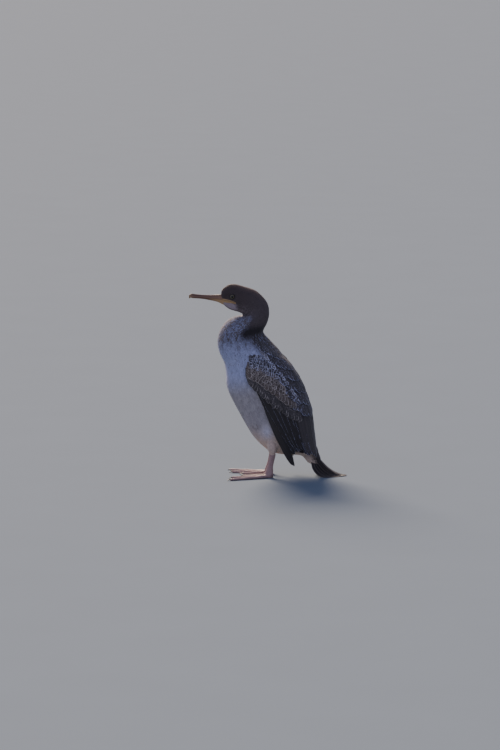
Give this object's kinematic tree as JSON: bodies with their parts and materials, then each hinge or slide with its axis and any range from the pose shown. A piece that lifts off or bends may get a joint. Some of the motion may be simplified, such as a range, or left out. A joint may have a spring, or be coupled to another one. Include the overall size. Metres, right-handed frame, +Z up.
{
  "type": "cormorant",
  "caption": "Life-size standing cormorant: slim hooked bill, drawn-in neck, long body with folded wings, stiff tail laid on the floor and broad webbed feet.",
  "frame": {"origin": "on the floor, at the middle of the bird's length and width", "axes": "+Z up, -Y the way the bird faces, +X its left side"},
  "size_m": [0.1364, 0.3241, 0.3979],
  "materials": {
    "plumage_pale": "soft matte body feathers, pale below",
    "plumage_dark": "soft matte dark brown body feathers",
    "flight_feathers": "satin brown vanes with pale fringes",
    "bill_horn": "satin horn, brown with a yellowish base",
    "eye": "wet gloss, dark pupil in a pale olive iris",
    "leg_skin": "scaly pinkish brown skin, satin"
  },
  "bodies": {
    "root": {"torso": "plumage_pale", "neck": "plumage_dark", "head": "plumage_dark", "bill_upper": "bill_horn", "bill_lower": "bill_horn", "eye_left": "eye", "eye_right": "eye", "wing_left": "flight_feathers", "wing_right": "flight_feathers", "tail": "flight_feathers", "thigh_left": "plumage_pale", "thigh_right": "plumage_pale", "tarsus_left": "leg_skin", "tarsus_right": "leg_skin", "foot_left": "leg_skin", "foot_right": "leg_skin"}
  },
  "joints": []
}
